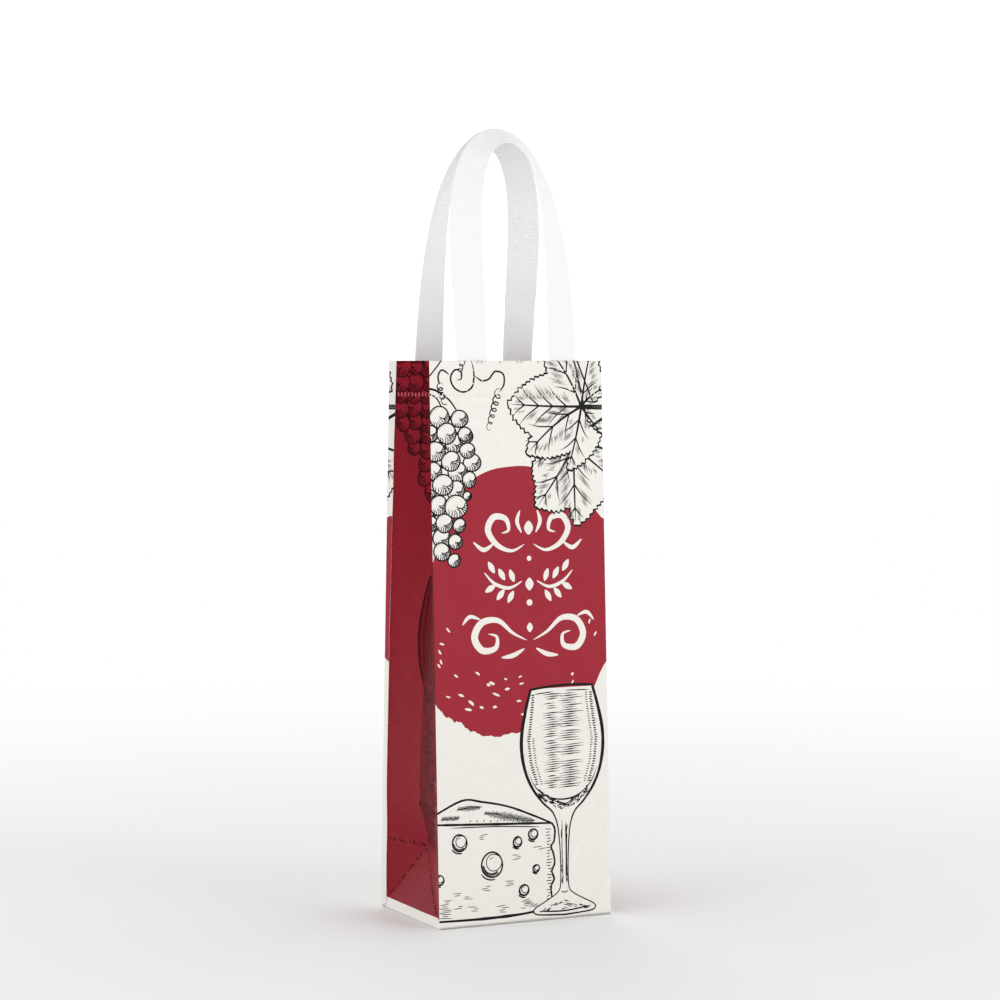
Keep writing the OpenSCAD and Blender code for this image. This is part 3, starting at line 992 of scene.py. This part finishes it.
ROWS = fine_steps(0, BAG_H, 3.0, ends=False)
ROWS = sorted(set(ROWS + [BAG_H - e for e in (0.18, 0.35, 0.53, 0.71)]))
LOW_ROWS = sorted(set(ROWS + list(np.arange(0.75, 62, 0.75).round(3))))
HEM_ROWS = [HEM_LINE] + [r for r in ROWS if r > HEM_LINE + 0.5]
SIDES = (("front", False), ("back", True))
WALLS = (("left_gusset", False), ("right_gusset", True))

# the front and the back
columns = fine_steps(0, 2 * HALF_W, 3.0)
for side, turned in SIDES:
    art = front_drawing()
    weld_row(art, 2 * HALF_W, PRESSED)
    handle_welds(art)
    place = laid(partial(panel_surface, turned=turned), 1)
    panel = sheet_piece(side + "_panel_sheet", place, 1, ((0, 2 * HALF_W), (0, BAG_H)), art, columns, ROWS)
    ride(panel, side + "_panel")
    if side == "front":
        cut(panel, 2 * HALF_W, BAG_H)

# the seam: the back's own drawing carries on round the corner, as a part of its sheet
strip = Drawing(1)
strip.shapes = [([(x - 2 * HALF_W, y) for x, y in points], ink) for points, ink in art.shapes]
columns = [0, 0.2, 0.4, 0.6, 0.85, 1.2, 2.2, 3.4, 4.4, SEAM]
seam = sheet_piece("seam_strip", laid(seam_surface, 1), 1, ((0, SEAM), (0, BAG_H)), strip, columns, ROWS)
ride(seam, "seam_flange")
cut(panel, 2 * HALF_W, BAG_H, with_pieces=[seam])

# the gussets, with closer steps at their middle crease
middle = (HALF_D + np.arange(-8.25, 8.5, 0.75)).round(3)
columns = sorted(set(fine_steps(0, 2 * HALF_D, 1.5) + list(middle)))
for name, right in WALLS:
    place = laid(partial(gusset_surface, right=right), -1)
    bounds = ((0, 2 * HALF_D), (0, BAG_H))
    piece = sheet_piece(name + "_sheet", place, -1, bounds, wall_drawing(right), columns, LOW_ROWS)
    ride(piece, name)
    cut(piece, 2 * HALF_D, BAG_H)


def hem_piece(name, surface, out, length, room, step, drawing):
    """The sheet's folded top, with room at both corners, its printed face now inward."""
    columns = fine_steps(room, length - room, step, ends=False)
    bounds = ((room, length - room), (HEM_LINE, BAG_H))
    place = laid(surface, out, hem=True)
    piece = sheet_piece(name + "_sheet", place, -out, bounds, drawing, columns, HEM_ROWS)
    ride(piece, name)
    cut(piece, length - 2 * room, HEM)


def hem_drawing(length, base, mark):
    d = Drawing(4)
    d.block(-8, HEM_LINE - 8, length + 8, BAG_H + 8, base)
    weld_row(d, length, mark)
    return d


for side, turned in SIDES:
    drawing = hem_drawing(2 * HALF_W, CREAM, PRESSED)
    handle_welds(drawing)
    surface = partial(panel_surface, turned=turned)
    hem_piece(side + "_hem", surface, 1, 2 * HALF_W, 3.6, 3.0, drawing)
for name, right in WALLS:
    # the gussets' hems take the same red, darkened as painted shade
    drawing = hem_drawing(2 * HALF_D, SHADED_WALL_RED, PRESSED_RED)
    surface = partial(gusset_surface, right=right)
    hem_piece(name + "_hem", surface, -1, 2 * HALF_D, 0.9, 1.5, drawing)

# ---------------------------------------------------------------- the base


def base_piece(name, place, out, width, reach):
    """A plain piece of the base. Returns it with its flat width and reach."""
    columns, rows = fine_steps(0, width, 6.0, ends=False), fine_steps(0, reach, 6.0, ends=False)
    bounds = ((0, columns[-1]), (0, rows[-1]))
    piece = sheet_piece(name + "_sheet", place, out, bounds, Drawing(1), columns, rows)
    ride(piece, name)
    return piece, columns[-1], rows[-1]


for name, hand in (("base_front_flap", 1), ("base_back_flap", -1)):
    low, high = (np.array(c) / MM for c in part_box(name))
    reach = HALF_D - FOOT + (high[1] if hand > 0 else -low[1])

    def flap(a, b):
        """a runs across the bag, b from the panel's foot inward. The film is on the underside."""
        a, b = grids(a, b)
        points = np.stack([low[0] + a, -(HALF_D - FOOT) + b, low[2] * ease(b / 10)], -1)
        points[..., :2] *= hand
        return points

    cut(*base_piece(name, flap, -1, high[0] - low[0], reach))

for name, hand in (("base_left_tuck", 1), ("base_right_tuck", -1)):
    low, high = (np.array(c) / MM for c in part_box(name))
    reach, half = high[0] - low[0], high[1]
    outer = low[0] if hand > 0 else -high[0]

    def tuck(a, b):
        """a runs along the gusset's foot, b inward, where the cut corners narrow the tuck."""
        a, b = grids(a, b)
        y = (a / half - 1) * (half - b)
        points = np.stack([outer + b, y, low[2] + 0 * a], -1)
        points[..., :2] *= hand
        return points

    piece, width, reach = base_piece(name, tuck, 1, 2 * half, reach)
    cut(piece, width, reach, area=(width - reach) * reach * MM * MM)

# ---------------------------------------------------------------- the handles

LEAN = atan((HALF_D - HALF_MOUTH) / BAG_H)
TAIL_MID = 2 * (SHEET + GAP) + STRAP_T / 2
FOOT_Y = -HALF_MOUTH + TAIL_MID / cos(LEAN)
CROWN_Y = -(STRAP_W * cos(TILT) + STRAP_T * sin(TILT) + CROWN_GAP) / 2
CROWN_Z = RISE - STRAP_W / 2 * sin(TILT) - STRAP_T / 2


def strap_middle(s):
    """The middle of the strap: s is 0 at the crown, 1 at the rim and more below it, negative on the left."""
    turn = pi / 2 * np.clip(1 - np.abs(s), 0, 1) ** 2
    share = np.sin(turn) ** (2 / ARCH)
    start = tan(LEAN) * CROWN_Z
    tail = np.clip(np.abs(s) - 1, 0, None) * TAIL
    x = np.sign(s) * LEG_X * np.cos(turn)
    y = FOOT_Y + start * share + (CROWN_Y - FOOT_Y - start) * share**1.5 - sin(LEAN) * tail
    z = BAG_H + share * CROWN_Z - cos(LEAN) * tail
    return np.stack([x, y, z], -1)


def strap_piece(name, seed, mirrored):
    """A strap with both its tails. Returns it with its length."""
    r = random.Random(seed)
    waves = [(r.uniform(0.02, 0.3), r.uniform(0, TURN), r.uniform(0.4, 1.0)) for _ in range(7)]

    def uneven(s, shift):
        return sum(k * np.sin(s * f + p + shift) for f, p, k in waves) / 3

    rings = 480
    fine = np.linspace(-2, 2, 8001)
    path = strap_middle(fine)
    length = np.concatenate([[0], np.cumsum(np.linalg.norm(np.diff(path, axis=0), axis=1))])
    run = np.linspace(0, length[-1], rings)
    s = np.interp(run, length, fine)
    run -= run[-1] / 2
    mid = strap_middle(s)
    tangent = unit(strap_middle(s + 0.004) - strap_middle(s - 0.004))
    turn = pi / 2 * np.clip(1 - np.abs(s), 0, 1) ** 1.1
    up = np.sin(turn)
    aim = np.stack([np.sign(s) * np.cos(turn), up * cos(TILT), up * sin(TILT)], -1)
    across = unit(aim - (aim * tangent).sum(-1, keepdims=True) * tangent)
    out = np.cross(tangent, across)
    columns = np.concatenate([[-1, -0.992, -0.97], np.linspace(-0.94, 0.94, 25), [0.97, 0.992, 1]])
    free = np.clip((1 - np.abs(s)) / 0.18, 0, 1)
    crown = np.clip(1 - np.abs(s) / 0.45, 0, 1) ** 0.7
    faces, verts, uvs = [], [], []
    count = len(columns)
    for side in (1, -1):
        for c in columns:
            half = STRAP_W / 2 + 0.06 * uneven(run, 2.0 * np.sign(c)) * abs(c)
            rounded = sqrt(max(0.0, 1 - max(0.0, (abs(c) - 0.94) / 0.06) ** 2))
            thick = STRAP_T / 2 * rounded * (1 - 0.25 * (abs(c) < 0.9))
            buckle = 0.22 * crown * np.clip(-c, 0, 1) ** 2 * np.sin(run * 0.3 + 0.6)
            cup = 0.5 * free * (c * c - 0.3) + 0.22 * free * uneven(run, 4.0 + c)
            verts.append(mid + across * (c * half)[:, None] + out * (side * thick + buckle + cup)[:, None])
            uvs.append(np.stack([STRAP_W / 2 * (c + 1) + 0 * s + 30 * (side < 0), run - run[0]], -1))

    def vid(side, c, k):
        return (side * count + c) * rings + k

    for k in range(rings - 1):
        for c in range(count - 1):
            faces.append([vid(0, c, k), vid(0, c, k + 1), vid(0, c + 1, k + 1), vid(0, c + 1, k)])
            faces.append([vid(1, c, k), vid(1, c + 1, k), vid(1, c + 1, k + 1), vid(1, c, k + 1)])
        for c in (0, count - 1):
            q = [vid(0, c, k), vid(1, c, k), vid(1, c, k + 1), vid(0, c, k + 1)]
            faces.append(q if c == 0 else q[::-1])
    for k in (0, rings - 1):
        for c in range(count - 1):
            q = [vid(0, c, k), vid(0, c + 1, k), vid(1, c + 1, k), vid(1, c, k)]
            faces.append(q if k == 0 else q[::-1])
    verts = np.concatenate(verts)
    above = np.clip((verts[:, 2] - BAG_H) / CROWN_Z, 0, 1)
    verts[:, 1] -= panel_bow(HALF_W + verts[:, 0], np.minimum(verts[:, 2], BAG_H)) * (1 - above) ** 1.5
    if mirrored:
        verts[:, :2] *= -1
    return new_object(name, verts, faces, [STRAP], [0] * len(faces), np.concatenate(uvs)), 2 * run[-1]


for side, turned in SIDES:
    strap, strap_length = strap_piece(side + "_strap", 21 + turned, turned)
    cut(strap, STRAP_W, strap_length, rests_on=[side + "_panel_sheet"])
    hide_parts(side + "_handle", side + "_handle_left_tail", side + "_handle_right_tail")
    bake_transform(strap)

# ---------------------------------------------------------------- floor and light

floor_radius, floor_sides, floor_z = 7, 96, -0.0001
floor_rim = arc((0, 0), floor_radius, floor_radius, np.linspace(0, 2 * pi, floor_sides + 1)[:-1])
floor_mesh = bpy.data.meshes.new("floor")
floor_mesh.from_pydata([(x, y, floor_z) for x, y in floor_rim], [], [list(range(floor_sides))])
floor = bpy.data.objects.new("floor", floor_mesh)
bpy.context.scene.collection.objects.link(floor)
pale = Nodes("pale_floor")
pale.shader.inputs["Base Color"].default_value = (0.94, 0.94, 0.94, 1)
pale.shader.inputs["Roughness"].default_value = 0.9
# far from the bag the floor glows like the room, so that no horizon shows
position = pale.add("ShaderNodeNewGeometry").outputs[0]
away = pale.add("ShaderNodeVectorMath", {0: position}, operation="LENGTH").outputs["Value"]
far = pale.add("ShaderNodeMapRange", {"Value": away, "From Min": 0.05, "From Max": 1.4})
far.interpolation_type = "SMOOTHSTEP"
glow = pale.add("ShaderNodeEmission", {0: (1, 1, 1, 1), 1: 1.0})
mixed = pale.add("ShaderNodeMixShader", {0: far.outputs[0], 1: pale.shader.outputs[0], 2: glow.outputs[0]})
pale.put(pale.out.inputs[0], mixed.outputs[0])
floor_mesh.materials.append(pale.material)

world = bpy.data.worlds.new("studio")
world.use_nodes = True
# a studio whose walls are bright up to a good height, under a dimmer ceiling
tree = world.node_tree
direction = tree.nodes.new("ShaderNodeTexCoord").outputs["Generated"]
split = tree.nodes.new("ShaderNodeSeparateXYZ")
tree.links.new(direction, split.inputs[0])
wall = tree.nodes.new("ShaderNodeMapRange")
wall.interpolation_type = "SMOOTHSTEP"
for key, value in (("From Min", 0.25), ("From Max", 0.7), ("To Min", 1.24), ("To Max", 0.6)):
    wall.inputs[key].default_value = value
tree.links.new(split.outputs[2], wall.inputs["Value"])
tree.links.new(wall.outputs[0], tree.nodes["Background"].inputs[1])
tree.nodes["Background"].inputs[0].default_value = (1, 1, 1, 1)
bpy.context.scene.world = world


def soft_light(name, place, aim, size, watts):
    data = bpy.data.lights.new(name, "AREA")
    data.shape = "DISK"
    data.size, data.energy = size, watts
    obj = bpy.data.objects.new(name, data)
    obj.location = place
    obj.rotation_euler = (Vector(aim) - Vector(place)).to_track_quat("-Z", "Y").to_euler()
    bpy.context.scene.collection.objects.link(obj)


soft_light("key", (1.0, -1.7, 1.2), (0, 0, 0.2), 1.0, 5.5)
soft_light("side", (-1.5, -0.3, 0.9), (0, 0, 0.12), 0.6, 2)
soft_light("behind", (0.5, 1.8, 1.6), (0, 0, 0.25), 1.2, 6)
bpy.context.scene.view_settings.view_transform = "Standard"
